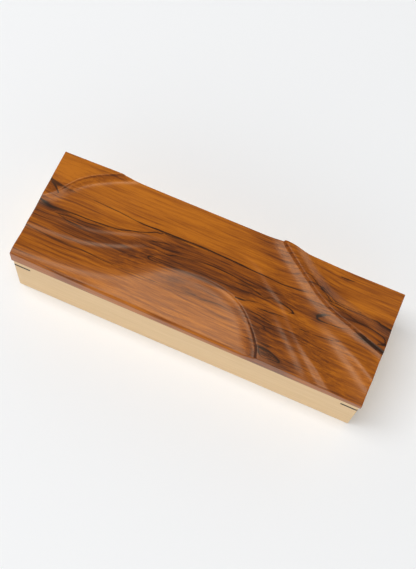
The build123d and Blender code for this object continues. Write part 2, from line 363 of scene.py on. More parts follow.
scene.view_settings.view_transform = "Standard"

# %% [markdown]
# All the wood of the box shares one effect: fine lines that run along the board, broader bands
# between them and short dark pores. It is made once, as a shader group, and each wood gives it its
# own spacing. The lines are ordinary noise, squeezed across the grain and stretched along it.


# %% Shared shader groups: grain and satin
def noise(tree, place, scale, detail, roughness=0.5, seed=None):
    """Ordinary noise in three directions, or in four where it has a seed."""
    values = {"Vector": place, "Scale": scale, "Detail": detail, "Roughness": roughness}
    if seed is None:
        return out(put(tree, "ShaderNodeTexNoise", values))
    return out(put(tree, "ShaderNodeTexNoise", {**values, "W": seed}, noise_dimensions="4D"))


def grain_group():
    tree, given, result = new_tree(
        "Wood grain", "ShaderNodeTree",
        {"Vector": ["Vector"], "Float": ["Line spacing", "Stretch", "Waviness", "Seed"]},
        {"Float": ["Lines", "Bands", "Pores"]}, Waviness=1.2 * mm,
    )
    x, y, z = split(given["Vector"])
    drift = noise(tree, given["Vector"], scale=9.0, detail=1.0, seed=given["Seed"]) - 0.5
    across = y + drift * given["Waviness"]

    def stretched(spacing, stretch, detail):
        place = join(tree, x / (spacing * stretch), across / spacing, z / spacing)
        return noise(tree, place, scale=1.0, detail=detail, roughness=0.6, seed=given["Seed"])

    for name, wider, longer, detail, start, end in (
        ("Lines", 1.0, 1.0, 3.0, 0.30, 0.70),
        ("Bands", 5.0, 0.6, 2.0, 0.32, 0.68),
        ("Pores", 0.3, 0.7, 1.0, 0.62, 0.72),
    ):
        spacing, stretch = given["Line spacing"] * wider, given["Stretch"] * longer
        connect(ease(start, end, stretched(spacing, stretch, detail)), result[name])
    return tree


def satin_group():
    tree, given, result = new_tree(
        "Satin", "ShaderNodeTree",
        {"Vector": ["Vector"], "Float": ["Roughness", "Unevenness", "Scale"]},
        {"Float": ["Roughness"]},
    )
    uneven = noise(tree, given["Vector"], given["Scale"], detail=3.0) - 0.5
    connect(given["Roughness"] + uneven * given["Unevenness"] * 2, result["Roughness"])
    return tree


wood_grain = grain_group()
satin = satin_group()


# %% Short ways to use them
def grain(tree, place, spacing, stretch, **more):
    """The outputs Lines, Bands and Pores of the grain group."""
    values = {"Vector": place, "Line spacing": spacing, "Stretch": stretch, **more}
    node = put(tree, "ShaderNodeGroup", values, node_tree=wood_grain)
    return out(node, "Lines"), out(node, "Bands"), out(node, "Pores")


def satin_roughness(tree, place, roughness, unevenness, scale):
    values = {"Vector": place, "Roughness": roughness, "Unevenness": unevenness, "Scale": scale}
    return out(put(tree, "ShaderNodeGroup", values, node_tree=satin))


def blend_colours(tree, share, first, second):
    """Mixes two colours. A colour is three numbers or another node's output."""
    node = tree.nodes.new("ShaderNodeMix")
    node.data_type = "RGBA"
    for value, socket in ((share, 0), (first, 6), (second, 7)):
        connect((*value, 1) if isinstance(value, tuple) else value, node.inputs[socket])
    return Field(node.outputs[2])


def bump(tree, height, distance, strength):
    values = {"Height": height, "Distance": distance, "Strength": strength}
    return out(put(tree, "ShaderNodeBump", values), "Normal")


def attribute(tree, name):
    return out(put(tree, "ShaderNodeAttribute", attribute_name=name), "Fac")


# %% [markdown]
# The lid's wood is golden brown with nearly black streaks, as rosewood and some walnut have. The
# streaks belong to this one board, so their lines are given to the mesh as attributes when the lid
# is carved, below. The material only draws them: it turns the distance to the nearest streak into a
# dark, slightly ragged line, and lets the fine grain run along with it. Between the streaks thin
# growth rings show in patches. Steep faces are darker, partly for their end grain and partly as
# painted shade. A thin line of painted shade runs along each arris, where the shine is lower too.
# The oil finish mirrors light with a touch of amber.

# %% Values of the lid's wood
oil_roughness, oil_shine = 0.30, 0.30
oil_tint = (1.0, 0.86, 0.66, 1)
thread_spacing, strand_spacing = 0.5 * mm, 1.3 * mm
lid_waviness = 2.2 * mm
streak_ragged = 0.6 * mm
halo_reach, halo_reach_below = 1.2 * mm, 2.6 * mm
ring_spacing = 4.2 * mm
ring_drift = 3.2  # how far the rings wander, in rings
ring_waves = (95 * mm, 16 * mm)  # size of their waves along the board and across it
ring_rise, ring_end, ring_patches = (0.55, 1.0), (1.0, 0.95), (0.35, 0.65)
streak_edge = (1.5, 0.4)  # in half widths: where a streak begins and where it is full
streak_near = 1.6 * mm  # nearer than this, the distance is measured square to the streak
full_halo_width = 0.9 * mm  # a thinner streak has a weaker halo
steep_slopes, sheer_slopes = (0.05, 0.30), (0.95, 0.75)
streak_colour = (0.026, 0.012, 0.008)
lid_colours = [(0.0, (0.062, 0.020, 0.010)), (0.33, (0.165, 0.045, 0.011)),
               (0.66, (0.310, 0.085, 0.010)), (1.0, (0.500, 0.155, 0.013))]

# %% How strongly each part of the figure shows
# On dark wood, and how much less on golden wood
band_shows, strand_shows = (0.20, 0.0), (0.46, 0.28)
line_shows, thread_shows = (0.26, 0.0), (0.34, 0.14)
ring_shows, all_grain_shows = (0.70, 0.48), (1.15, 0.40)
# On all wood
streak_shows, halo_shows, halo_broken = 0.94, 0.60, 0.45
pore_shows, fleck_shows = 0.20, 0.16
# Steep faces: end grain and painted shade. Arris line: painted shade, and how much it lowers the
# shine.
steep_grain_and_shade_shows, arris_shade_shows, arris_shade_dulls = 0.36, 0.14, 0.14


# %% Growth rings and lid wood
def shows(tone, strength):
    """A strength that is less where the wood is golden."""
    on_dark, less_on_golden = strength
    return on_dark - tone * less_on_golden


def growth_rings(tree, x, across, tone):
    """Each ring darkens slowly and ends at once. Golden wood shows them less."""
    place = join(tree, x / ring_waves[0], across / ring_waves[1], 0.0)
    drift = noise(tree, place, scale=1.0, detail=1.5) * ring_drift
    ring = calc("FRACT", across / ring_spacing + drift)
    patchy = ease(*ring_patches, noise(tree, place, scale=2.0, detail=1.5))
    return ease(*ring_rise, ring) * ease(*ring_end, ring) * patchy * shows(tone, ring_shows)


def lid_wood_material():
    material, tree, shader = new_material(
        "lid wood", Roughness=oil_roughness, Specular_IOR_Level=oil_shine, Specular_Tint=oil_tint)
    place = object_place(tree)
    x, _, z = split(place)
    across = attribute(tree, "grain_across")
    along_grain = join(tree, x, across, z)
    wavy = {"Waviness": lid_waviness}
    lines, threads, pores = grain(
        tree, along_grain, thread_spacing, stretch=40.0, Seed=0.0, **wavy)
    strands, bands, flecks = grain(
        tree, along_grain, strand_spacing, stretch=32.0, Seed=6.0, **wavy)

    side, gap = attribute(tree, "streak_side"), attribute(tree, "streak_gap")
    width, dark = attribute(tree, "streak_width"), attribute(tree, "streak_dark")
    near = calc("LESS_THAN", gap, streak_near)
    distance = gap + (calc("ABSOLUTE", side) - gap) * near + (strands - 0.5) * streak_ragged
    streak = ease(*streak_edge, distance / width) * dark
    below = calc("LESS_THAN", side, 0.0)
    heavy = calc("MINIMUM", width / full_halo_width, 1.0)
    halo = exp(-(gap / (halo_reach + below * halo_reach_below))) * dark * heavy * heavy

    tone = attribute(tree, "tone")
    uneven = -flecks * fleck_shows
    for layer, strength in ((bands, band_shows), (strands, strand_shows), (lines, line_shows),
                            (threads, thread_shows)):
        uneven += (layer - 0.5) * shows(tone, strength)
    # Steep faces are darker, partly for end grain and partly as painted shade; the arris line is
    # painted shade.
    slope, crease = attribute(tree, "slope"), attribute(tree, "crease")
    steep_grain_and_shade = ease(*steep_slopes, slope) * ease(*sheer_slopes, slope)
    darker = halo * (halo_shows - strands * halo_broken) + pores * pore_shows
    darker += steep_grain_and_shade * steep_grain_and_shade_shows + crease * arris_shade_shows + growth_rings(tree, x, across, tone)
    shade = tone + uneven * shows(tone, all_grain_shows) - darker
    ramp = put(tree, "ShaderNodeValToRGB", {"Fac": shade})
    stops = ramp.color_ramp.elements
    for number, (at, colour) in enumerate(lid_colours):
        stop = stops[number] if number < 2 else stops.new(at)
        stop.position, stop.color = at, (*colour, 1)
    colour = blend_colours(tree, streak * streak_shows, out(ramp, "Color"), streak_colour)

    rough = satin_roughness(tree, place, oil_roughness, unevenness=0.04, scale=70.0)
    relief = bump(tree, lines - pores, distance=0.02 * mm, strength=0.35)
    # Along the arris line of painted shade the shine is lower too.
    feed(shader, {"Base Color": colour, "Roughness": rough, "Normal": relief,
                  "Specular IOR Level": oil_shine - crease * arris_shade_dulls})
    return material


lid_wood = lid_wood_material()

# %% [markdown]
# The relief follows a rule, so it is made with Geometry Nodes. A carving line lies in the plan of
# the lid and carries three numbers at each point: how high the carving stands there, how far it
# reaches behind the line, and how wide the wall in front of it is. The lid's height is a sum of
# what each line does to the places beside it. A line is a wire mesh with those numbers as
# attributes, which the tree turns into a smooth curve.

# %% Carving lines
# Each point: along the lid in %, across it in %, height, reach and wall in mm
rim_line = [
    (-6.4, 4.9, 2.4, 12, 8.0), (0.2, 6.9, 2.8, 12, 8.0), (9.0, 9.8, 3.0, 13, 8.0),
    (16.7, 12.7, 3.4, 14, 8.0), (26.7, 20.0, 4.3, 17, 8.0), (32.0, 27.8, 5.2, 21, 7.5),
    (36.2, 35.0, 6.2, 26, 6.5), (40.2, 39.6, 7.0, 30, 6.0), (46.1, 42.7, 7.5, 34, 5.0),
    (52.1, 42.8, 7.6, 36, 5.0), (56.7, 40.5, 7.4, 36, 6.0), (60.2, 36.4, 7.2, 36, 6.0),
    (63.4, 29.5, 6.7, 36, 6.5), (66.7, 18.8, 5.8, 36, 7.0), (68.8, 10.4, 4.9, 36, 7.0),
    (69.8, 3.9, 4.2, 36, 7.0), (70.3, -2.9, 3.6, 36, 7.0),
]
ridge_line = [
    (62.1, 110.8, 7.8, 17, 6.0), (64.7, 101.0, 7.8, 17, 6.0), (66.6, 95.6, 7.4, 16, 6.0),
    (71.7, 84.1, 6.5, 15, 6.0), (75.1, 76.9, 6.1, 15, 6.0), (78.7, 69.4, 5.8, 16, 6.0),
    (82.0, 64.1, 5.5, 18, 6.0), (85.4, 60.0, 5.4, 20, 6.0), (88.7, 56.8, 5.5, 21, 6.0),
    (92.0, 53.5, 5.8, 23, 6.0), (95.2, 50.0, 6.2, 24, 6.0), (98.5, 46.5, 6.5, 26, 6.0),
    (102.5, 42.2, 6.8, 27, 6.0),
]
blade_line = [
    (22.5, 105.9, 3.6, 20, 3.8), (18.2, 100.5, 4.2, 20, 3.9), (15.9, 97.6, 4.6, 20, 4.0),
    (13.9, 94.3, 4.9, 20, 4.1), (11.3, 89.8, 4.9, 20, 4.2), (9.3, 85.7, 4.8, 20, 4.3),
    (7.7, 81.6, 4.4, 20, 4.4), (6.4, 77.3, 3.8, 20, 4.5), (5.2, 72.9, 3.2, 20, 4.8),
    (4.2, 68.6, 2.6, 18, 5.6), (3.0, 63.7, 2.1, 15, 6.0), (0.8, 58.3, 1.7, 12, 6.5),
    (-3.1, 52.0, 1.4, 12, 7.0),
]


def even_swell(reach, wall, *points):
    """A swell with the same reach and wall all along."""
    return [(*point, reach, wall) for point in points]


swell_lines = [
    [(-2.5, 30.4, 0.7, 8, 3.6), (7.4, 32.4, 0.8, 8, 3.6), (15.2, 34.8, 0.9, 8, 3.4),
     (20.2, 38.7, 1.0, 8, 3.4), (26.1, 45.3, 1.0, 8, 3.4), (31.0, 52.0, 0.7, 8, 3.6),
     (35.2, 56.9, 0.1, 8, 3.6)],
    [(4.1, 43.6, 0.2, 9, 3.6), (10.7, 45.9, 0.5, 9, 3.6), (16.6, 47.5, 0.8, 9, 3.4),
     (22.5, 52.9, 1.0, 9, 3.4), (28.4, 58.8, 1.0, 9, 3.4), (34.3, 63.2, 0.7, 9, 3.6),
     (40.2, 66.7, 0.1, 9, 3.6)],
    even_swell(9, 4.0, (55.9, 80.4, 0.2), (61.8, 71.6, 0.9), (66.4, 60.3, 1.2), (71.3, 50.5, 1.4),
               (76.2, 34.8, 1.6), (81.8, 20.6, 2.0), (85.4, 12.7, 2.0), (89.3, 3.9, 1.3),
               (92.6, -3.9, 1.0)),
    even_swell(7, 4.5, (68.4, 48.0, 0.2), (72.3, 36.3, 1.1), (76.2, 25.5, 1.4), (80.2, 14.7, 1.2),
               (84.1, 3.9, 0.4)),
    even_swell(9, 6.5, (81.5, 53.9, 0.2), (85.4, 47.1, 1.0), (90.0, 39.7, 2.2), (94.6, 32.4, 3.2),
               (99.2, 24.0, 3.6), (103.1, 17.6, 3.6)),
    even_swell(5, 3.0, (92.0, 44.1, 0.0), (95.9, 39.7, 0.7), (99.8, 34.8, 1.0), (103.8, 30.4, 1.0)),
]
carving_names = ("height", "reach", "wall")


def wire(name, lines, names):
    """A wire mesh through the points of one or more lines, with their numbers as attributes."""
    rows = [row for line in lines for row in line]
    places = [((r[0] / 100 - 0.5) * lid_length, (r[1] / 100 - 0.5) * lid_width, 0) for r in rows]
    ends = set(np.cumsum([len(line) for line in lines]) - 1)
    edges = [(i, i + 1) for i in range(len(rows)) if i not in ends]
    mesh = mesh_of(name, places, [], edges)
    for number, attribute_name in enumerate(names, 2):
        layer = mesh.attributes.new(attribute_name, "FLOAT", "POINT")
        layer.data.foreach_set("value", [row[number] for row in rows])
    return new_piece(name, mesh)


carving_lines = {"Rim": rim_line, "Ridge": ridge_line, "Blade": blade_line}
swell_names = [f"Swell {number}" for number in range(1, len(swell_lines) + 1)]
carving_lines.update(zip(swell_names, swell_lines))
carving = {name: wire(name, [line], carving_names) for name, line in carving_lines.items()}
print(len(carving), "carving lines")


# %% Reading a line or a point from inside a tree
def position(tree):
    return out(put(tree, "GeometryNodeInputPosition"))


def named(tree, name, kind="FLOAT"):
    node = put(tree, "GeometryNodeInputNamedAttribute", {"Name": name}, data_type=kind)
    return out(node, "Attribute")


def shape_of(thing):
    return out(put(thing.tree, "GeometryNodeObjectInfo", {"Object": thing}), "Geometry")


def nearest_point(points, x, y):
    here = {"Geometry": points, "Sample Position": join(x.tree, x, y, 0.0)}
    return out(put(x.tree, "GeometryNodeSampleNearest", here, domain="POINT"))


def sampled(points, index, value, kind="FLOAT"):
    values = {"Geometry": points, "Value": value, "Index": index}
    node = put(points.tree, "GeometryNodeSampleIndex", values, data_type=kind, domain="POINT")
    return out(node, "Value")


def cut_away(shape, cutter):
    """One closed shape less another."""
    node = put(shape.tree, "GeometryNodeMeshBoolean", {"Mesh 1": shape, "Mesh 2": cutter},
               operation="DIFFERENCE", solver="MANIFOLD")
    return out(node, "Mesh")


def finish_tree(shape, material, result):
    """How every tree ends: copies made real, then the material."""
    shape = out(put(shape.tree, "GeometryNodeRealizeInstances", {"Geometry": shape}))
    values = {"Geometry": shape, "Material": material}
    connect(out(put(shape.tree, "GeometryNodeSetMaterial", values)), result)


# %% The group that measures a place beside a line
curve_resolution = 48  # points between two points of a line, before they are evened
curve_step = 0.3 * mm


def beside_group(names):
    """Finds the nearest point of a line. Side is the distance to it, plus on the line's left, Gap
    is the plain distance, and Past is how far the place lies beyond the line's end."""
    tree, given, result = new_tree(
        "Beside a line of " + " ".join(names), "GeometryNodeTree",
        {"Object": ["Line"], "Float": ["Step"]},
        {"Float": ["Side", "Gap", "Past", "Line y", *names]}, Step=curve_step,
    )
    curve = out(put(tree, "GeometryNodeMeshToCurve", {"Mesh": shape_of(given["Line"])}))
    rough = {"Curve": curve}
    curve = out(put(tree, "GeometryNodeCurveSplineType", rough, spline_type="CATMULL_ROM"))
    smooth = {"Geometry": curve, "Resolution": curve_resolution}
    curve = out(put(tree, "GeometryNodeSetSplineResolution", smooth))
    even = {"Curve": curve, "Length": given["Step"]}
    curve = out(put(tree, "GeometryNodeResampleCurve", even, mode="LENGTH"))
    dots = put(tree, "GeometryNodeCurveToPoints", {"Curve": curve}, mode="EVALUATED")
    points = out(dots, "Points")
    x, y, _ = split(position(tree))
    nearest = nearest_point(points, x, y)
    px, py, _ = split(sampled(points, nearest, position(tree), "FLOAT_VECTOR"))
    hx, hy, _ = split(sampled(points, nearest, out(dots, "Tangent"), "FLOAT_VECTOR"))
    dx, dy = x - px, y - py
    connect(hx * dy - hy * dx, result["Side"])
    connect(calc("SQRT", square(dx) + square(dy)), result["Gap"])
    forwards = calc("ABSOLUTE", hx * dx + hy * dy)
    connect(calc("MAXIMUM", forwards - given["Step"], 0.0), result["Past"])
    connect(py, result["Line y"])
    for name in names:
        connect(sampled(points, nearest, named(tree, name)), result[name])
    return tree


beside_carving = beside_group(carving_names)

# %% [markdown]
# The figure of the wood is a second set of lines: the nearly black streaks of this board, each with
# a half width in millimetres and a darkness. The places between them are lighter or browner, which
# a few marked places say. The tree blurs those, so the tone drifts from one place to the next.

# %% Streaks and tones of this board
# Each point: along the lid in %, across it in %, half width in mm, darkness
streak_lines = [
    # the long dark line from the left end to the ridge, and its short companion
    [(-1.1, 73.1, 1.6, 0.8), (2.2, 70.8, 1.3, 0.8), (4.8, 69.8, 0.8, 0.8), (10.0, 70.4, 0.4, 0.6),
     (19.9, 69.4, 0.4, 0.8), (27.8, 67.5, 0.6, 1), (36.4, 67.7, 0.6, 1), (46.3, 67.8, 0.6, 1),
     (56.1, 66.8, 0.6, 1), (62.7, 66.1, 0.5, 1), (67.6, 65.6, 0.4, 0.9), (72.5, 66.8, 0.4, 0.8),
     (76.5, 68.6, 0.3, 0.5)],
    [(35.0, 66.4, 0.4, 0.8), (40.3, 65.4, 0.5, 0.9), (45.6, 64.9, 0.4, 0.8),
     (50.2, 64.9, 0.3, 0.4)],
    # the wedge at the left end
    [(-0.4, 74.0, 1.5, 0.8), (1.9, 68.9, 1.2, 0.9), (3.5, 64.5, 0.5, 0.9)],
    # the heavy line below it, which climbs to meet the long one
    [(-1.1, 54.0, 1.0, 1), (0.8, 52.6, 1.1, 1), (3.5, 50.8, 1.0, 1), (6.7, 51.5, 0.8, 0.9),
     (13.3, 52.6, 0.6, 0.9), (19.9, 53.9, 0.6, 0.9), (23.2, 54.9, 0.6, 0.9), (26.5, 58.0, 0.5, 0.9),
     (29.8, 60.8, 0.5, 0.9), (32.1, 64.1, 0.6, 0.9), (34.0, 65.5, 0.5, 0.8)],
    # a lens-shaped eye between the swells
    [(6.1, 47.3, 0.4, 0.8), (10.0, 48.9, 0.5, 0.7), (13.3, 48.8, 0.5, 0.6), (16.6, 50.3, 0.6, 0.7),
     (19.9, 52.0, 0.4, 0.4)],
    [(6.1, 47.3, 0.4, 0.8), (8.1, 45.7, 0.5, 0.7), (10.0, 44.8, 0.6, 0.8), (13.3, 44.2, 0.5, 0.6),
     (16.0, 43.5, 0.3, 0.3)],
    # a thin line along the front
    [(-1.1, 28.5, 0.5, 0.8), (2.8, 27.1, 0.3, 0.5), (10.0, 26.5, 0.4, 0.7), (16.6, 26.7, 0.4, 0.8),
     (19.9, 25.7, 0.4, 0.8), (25.9, 24.5, 0.3, 0.6), (36.4, 24.6, 0.4, 0.5),
     (50.1, 26.4, 0.3, 0.3)],
    # lines in the middle of the board
    [(31.4, 55.0, 0.3, 0.6), (33.1, 56.6, 0.4, 0.8), (35.7, 58.4, 0.4, 0.8),
     (37.3, 59.3, 0.3, 0.5)],
    [(35.7, 50.5, 0.3, 0.4), (38.1, 49.3, 0.5, 0.8), (39.7, 51.3, 0.5, 0.8), (43.0, 52.7, 0.4, 0.7),
     (49.6, 55.1, 0.4, 0.7), (56.1, 54.8, 0.5, 0.9), (61.7, 53.2, 0.4, 0.7),
     (63.6, 54.0, 0.3, 0.5)],
    [(56.1, 50.0, 0.3, 0.5), (61.7, 51.1, 0.5, 0.8), (65.9, 48.7, 0.5, 0.9), (67.6, 50.6, 0.5, 0.8),
     (70.9, 50.0, 0.5, 0.9), (73.2, 48.8, 0.6, 1), (74.5, 46.9, 0.7, 1), (73.8, 45.5, 0.4, 0.7)],
    [(36.6, 43.2, 0.5, 0.5), (34.4, 43.6, 0.6, 0.9), (33.5, 42.0, 0.7, 0.9), (34.5, 40.2, 0.6, 0.9),
     (37.2, 40.0, 0.4, 0.6)],
    [(36.4, 43.5, 0.4, 0.5), (39.1, 43.1, 0.5, 0.6), (41.4, 43.0, 0.3, 0.4)],
    [(59.4, 38.7, 0.5, 0.9), (61.1, 39.2, 0.6, 1), (63.0, 41.1, 0.4, 0.7), (67.6, 43.9, 0.3, 0.4)],
    [(61.7, 33.6, 0.3, 0.7), (64.3, 33.3, 0.4, 0.8), (67.6, 32.4, 0.5, 0.8),
     (69.9, 31.3, 0.4, 0.6)],
    [(67.9, 26.6, 0.4, 0.8), (68.9, 25.7, 0.6, 0.8)],
    [(66.3, 23.1, 0.5, 0.7), (67.6, 22.6, 0.5, 0.7)],
    [(65.9, 38.1, 0.3, 0.8), (69.2, 39.4, 0.4, 0.9), (74.2, 41.0, 0.3, 0.6)],
    # bluish marks in the bay
    [(45.6, 28.1, 0.3, 0.5), (48.8, 28.2, 0.4, 0.6)],
    [(51.1, 26.9, 0.4, 0.5), (53.4, 28.3, 0.4, 0.7), (56.0, 28.8, 0.4, 0.6),
     (58.7, 27.9, 0.3, 0.4)],
    # beyond the ridge
    [(73.7, 81.9, 0.3, 0.4), (75.4, 80.3, 0.4, 0.7), (77.6, 76.4, 0.5, 0.8), (80.9, 71.1, 0.5, 0.9),
     (82.5, 67.9, 0.5, 0.9), (85.7, 67.6, 0.4, 0.8), (89.0, 67.9, 0.4, 0.7), (95.4, 69.0, 0.5, 0.9),
     (97.1, 67.7, 0.7, 1), (101.3, 66.3, 0.8, 1)],
    [(84.1, 64.7, 0.3, 0.6), (87.4, 62.9, 0.4, 0.7), (90.7, 60.6, 0.4, 0.8), (93.9, 60.4, 0.5, 0.8),
     (96.5, 59.0, 0.5, 0.8), (98.8, 56.4, 0.5, 0.9), (99.5, 51.5, 0.8, 1), (98.2, 50.0, 0.6, 0.8)],
    [(78.5, 77.7, 0.3, 0.7), (81.5, 72.6, 0.4, 0.8), (83.5, 69.6, 0.4, 0.8), (86.5, 69.8, 0.3, 0.8),
     (90.5, 70.3, 0.3, 0.6)],
    [(79.5, 70.9, 0.3, 0.6), (82.5, 66.0, 0.4, 0.8), (85.5, 65.0, 0.3, 0.8),
     (88.5, 64.2, 0.3, 0.6)],
    [(83.0, 93.3, 0.4, 0.8), (84.3, 93.4, 0.5, 0.9), (85.7, 93.7, 0.3, 0.7)],
    # the eye in the ridge's front, and the dashes and the black end streak near it
    [(83.2, 57.3, 0.4, 0.7), (81.7, 55.3, 1.1, 1), (80.7, 53.0, 1.3, 1), (81.3, 50.7, 0.9, 1),
     (84.0, 50.4, 0.4, 0.9), (87.3, 51.3, 0.3, 0.8), (88.9, 52.2, 0.3, 0.5)],
    [(78.1, 36.9, 0.4, 0.9), (79.7, 37.5, 0.3, 0.8)],
    [(81.6, 37.4, 0.3, 0.8), (83.3, 38.2, 0.4, 0.9), (87.9, 39.8, 0.3, 0.7)],
    [(90.9, 53.6, 0.4, 0.6), (93.9, 50.6, 1, 1), (95.5, 49.0, 1.1, 1), (97.2, 47.6, 1.1, 1),
     (101.5, 43.8, 1.4, 1)],
    # the knot by the front edge
    [(69.7, 9.5, 0.5, 0.9), (71.5, 9.9, 0.5, 0.9), (73.1, 9.2, 0.6, 1), (74.8, 7.2, 0.6, 1),
     (76.1, 4.7, 0.7, 1), (74.1, 4.0, 0.5, 0.9), (71.5, 3.1, 0.4, 0.8), (70.2, 5.7, 0.4, 0.8),
     (69.7, 8.8, 0.4, 0.8)],
    [(71.0, 8.3, 0.3, 0.6), (73.4, 7.2, 0.4, 0.8), (75.0, 5.6, 0.3, 0.6)],
    [(71.2, 6.4, 0.3, 0.6), (73.3, 5.4, 0.4, 0.7)],
    [(69.5, 12.5, 0.3, 0.6), (71.7, 12.8, 0.4, 0.8)],
]
# Each place: along in %, across in %, tone from 0, dark brown, to 1, golden
tone_places = [
    (4, 90, 1.0), (16, 88, 0.88), (30, 84, 0.92), (44, 80, 0.9), (58, 82, 0.8), (66, 86, 0.55),
    (70, 70, 0.75), (10, 61, 0.75), (22, 63, 0.9), (30, 68, 0.85), (44, 73, 0.95), (60, 73, 0.9),
    (6, 42, 0.52), (14, 40, 0.40), (24, 42, 0.38), (32, 46, 0.40), (42, 58, 0.40), (52, 60, 0.50),
    (40, 45, 0.40), (50, 48, 0.35), (60, 46, 0.35), (66, 52, 0.38), (76, 58, 0.50), (4, 20, 0.68),
    (14, 20, 0.70), (26, 29, 0.66), (34, 34, 0.60), (62, 41, 0.85), (66, 42, 1.0), (71, 43, 1.0),
    (77, 43, 0.90), (67, 35, 0.42), (74, 34, 0.50), (71, 27, 0.42), (76, 16, 0.48), (84, 20, 0.62),
    (84, 44, 0.75), (92, 42, 0.80), (96, 26, 0.82), (93, 10, 0.70), (76, 92, 0.85), (88, 86, 0.80),
    (97, 80, 0.80), (88, 72, 0.95), (92, 64, 0.40), (97, 55, 0.50), (82, 76, 0.50), (20, 10, 0.76),
    (36, 14, 0.79), (50, 14, 0.79), (60, 18, 0.76), (48, 34, 0.55), (70, 20, 0.42),
]
streak_names = ("half_width", "darkness", "level")
levelled = []
for line in streak_lines:
    level = sum(row[1] for row in line) / len(line)
    levelled.append([(*row, level) for row in line])
figure = {"Streaks": wire("Streaks", levelled, streak_names),
          "Tones": wire("Tones", [[place] for place in tone_places], ("tone",))}
beside_streak = beside_group(streak_names)
print(len(streak_lines), "streaks,", len(tone_places), "tone places")

# %% [markdown]
# The blank is a thin board: a close grid of points on top, one row of faces down each side with its
# lower edge eased, and one face below. Extra rows lie on the grid's rims. They carry how far they
# are turned down into the rounded edge, and the tree moves them there, because the front edge is
# rounded more in the middle than at its ends.

# %% Sizes of the blank
edge_radius = 0.5 * mm
under_chamfer = 0.3 * mm
grid_spacing = 0.60 * mm
side_rows, front_rows = 3, 7


# %% Closed slabs
def grid_and_rim(columns, rows):
    """Faces of a grid whose points run up one column after another, and its rim as a loop."""
    faces = [(i * rows + j, (i + 1) * rows + j, (i + 1) * rows + j + 1, i * rows + j + 1)
             for i in range(columns - 1) for j in range(rows - 1)]
    rim = [i * rows for i in range(columns)] + [(columns - 1) * rows + j for j in range(1, rows)]
    rim += [i * rows + rows - 1 for i in range(columns - 2, -1, -1)] + list(range(rows - 2, 0, -1))
    return faces, rim


def closed_below(faces, rim, *rings):
    """Adds the faces from the rim down over each ring of points, and one that closes the last."""
    for ring in rings:
        pairs = zip(rim, rim[1:] + rim[:1], ring, ring[1:] + ring[:1])
        faces += [(c, d, b, a) for a, b, c, d in pairs]
        rim = ring
    return faces + [tuple(reversed(rim))]


# %% The blank board
def rim_rows(low, high, before, after):
    """Places from low to high with extra rows on both rims, and how far each is turned down."""
    count = round((high - low) / grid_spacing)
    inner = [low + (high - low) * i / count for i in range(count + 1)]
    turns = [-(1 - i / before) for i in range(before)] + [0.0] * (count + 1)
    turns += [(i + 1) / after for i in range(after)]
    return [low] * before + inner + [high] * after, turns


def blank_board():
    half_length, half_width = lid_length / 2, lid_width / 2
    end, back = half_length - edge_radius, half_width - edge_radius
    xs, turns_x = rim_rows(-end, end, side_rows, side_rows)
    ys, turns_y = rim_rows(-half_width, back, front_rows, side_rows)
    points = [(x, y, underside) for x in xs for y in ys]
    turn = [(tx, ty, 0.0) for tx in turns_x for ty in turns_y]
    faces, rim = grid_and_rim(len(xs), len(ys))
    top_count, rim_count = len(points), len(rim)
    outer = [(points[i][0] + edge_radius * math.sin(turn[i][0] * math.pi / 2),
              points[i][1] + edge_radius * math.sin(max(turn[i][1], 0) * math.pi / 2)) for i in rim]
    inset_x, inset_y = 1 - under_chamfer / half_length, 1 - under_chamfer / half_width
    points += [(x, y, underside + under_chamfer) for x, y in outer]
    points += [(x * inset_x, y * inset_y, underside) for x, y in outer]
    first = list(range(top_count, top_count + rim_count))
    second = [i + rim_count for i in first]
    mesh = mesh_of("blank_board", points, closed_below(faces, rim, first, second))
    is_top = mesh.attributes.new("is_top", "FLOAT", "POINT")
    is_top.data.foreach_set("value", [1.0] * top_count + [0.0] * (2 * rim_count))
    turned = mesh.attributes.new("turned", "FLOAT_VECTOR", "POINT")
    turned.data.foreach_set("vector", np.array(turn + [(0.0, 0.0, 0.0)] * (2 * rim_count)).ravel())
    return mesh


lid = new_piece("carved_lid", blank_board())
print("blank board of", len(lid.data.polygons), "faces")

# %% [markdown]
# Each hinge leaf lies in a mortise in the lid's underside, and the barrel needs a notch that runs
# out through the back edge. Both are one prism a hinge, cut from the lid with a Mesh Boolean node.
# Its outline comes from the hinge itself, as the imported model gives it.

# %% Room for the hinges
pin_y, pin_z = hinge_joint["pos_m"][1:]
leaf_play = 0.1 * mm
barrel_play = 0.2 * mm
cut_beyond = 1 * mm
mortise_depth = 1.35 * mm
arc_steps = 8
leaf_low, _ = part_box("left_hinge_lid_leaf")
barrel_radius = pin_z - leaf_low.z


def hinge_room_outline():
    """The outline, seen from the end, of what one hinge takes out of the lid."""
    leaf_top = underside + mortise_depth
    radius = barrel_radius + barrel_play
    begin = math.asin((leaf_top - pin_z) / radius)
    angles = [begin + (math.pi / 2 - begin) * i / arc_steps for i in range(arc_steps + 1)]
    arc = [(pin_y - radius * math.cos(angle), pin_z + radius * math.sin(angle)) for angle in angles]
    front, rear = leaf_low.y - leaf_play, lid_high.y + cut_beyond
    below = underside - cut_beyond
    return [(front, below), (front, leaf_top), *arc, (rear, pin_z + radius), (rear, below)]


def hinge_rooms():
    outline = hinge_room_outline()
    count = len(outline)
    points, faces = [], []
    for node in ("left_hinge_lid_leaf", "right_hinge_lid_leaf"):
        low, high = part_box(node)
        left = list(range(len(points), len(points) + count))
        right = [i + count for i in left]
        points += [(low.x - leaf_play, y, z) for y, z in outline]
        points += [(high.x + leaf_play, y, z) for y, z in outline]
        faces += zip(left, right, right[1:] + right[:1], left[1:] + left[:1])
        faces += [tuple(left), tuple(reversed(right))]
    return new_piece("hinge_rooms", mesh_of("hinge_rooms", points, faces))


rooms = hinge_rooms()
print("barrel radius", round(barrel_radius / mm, 2), "mm")
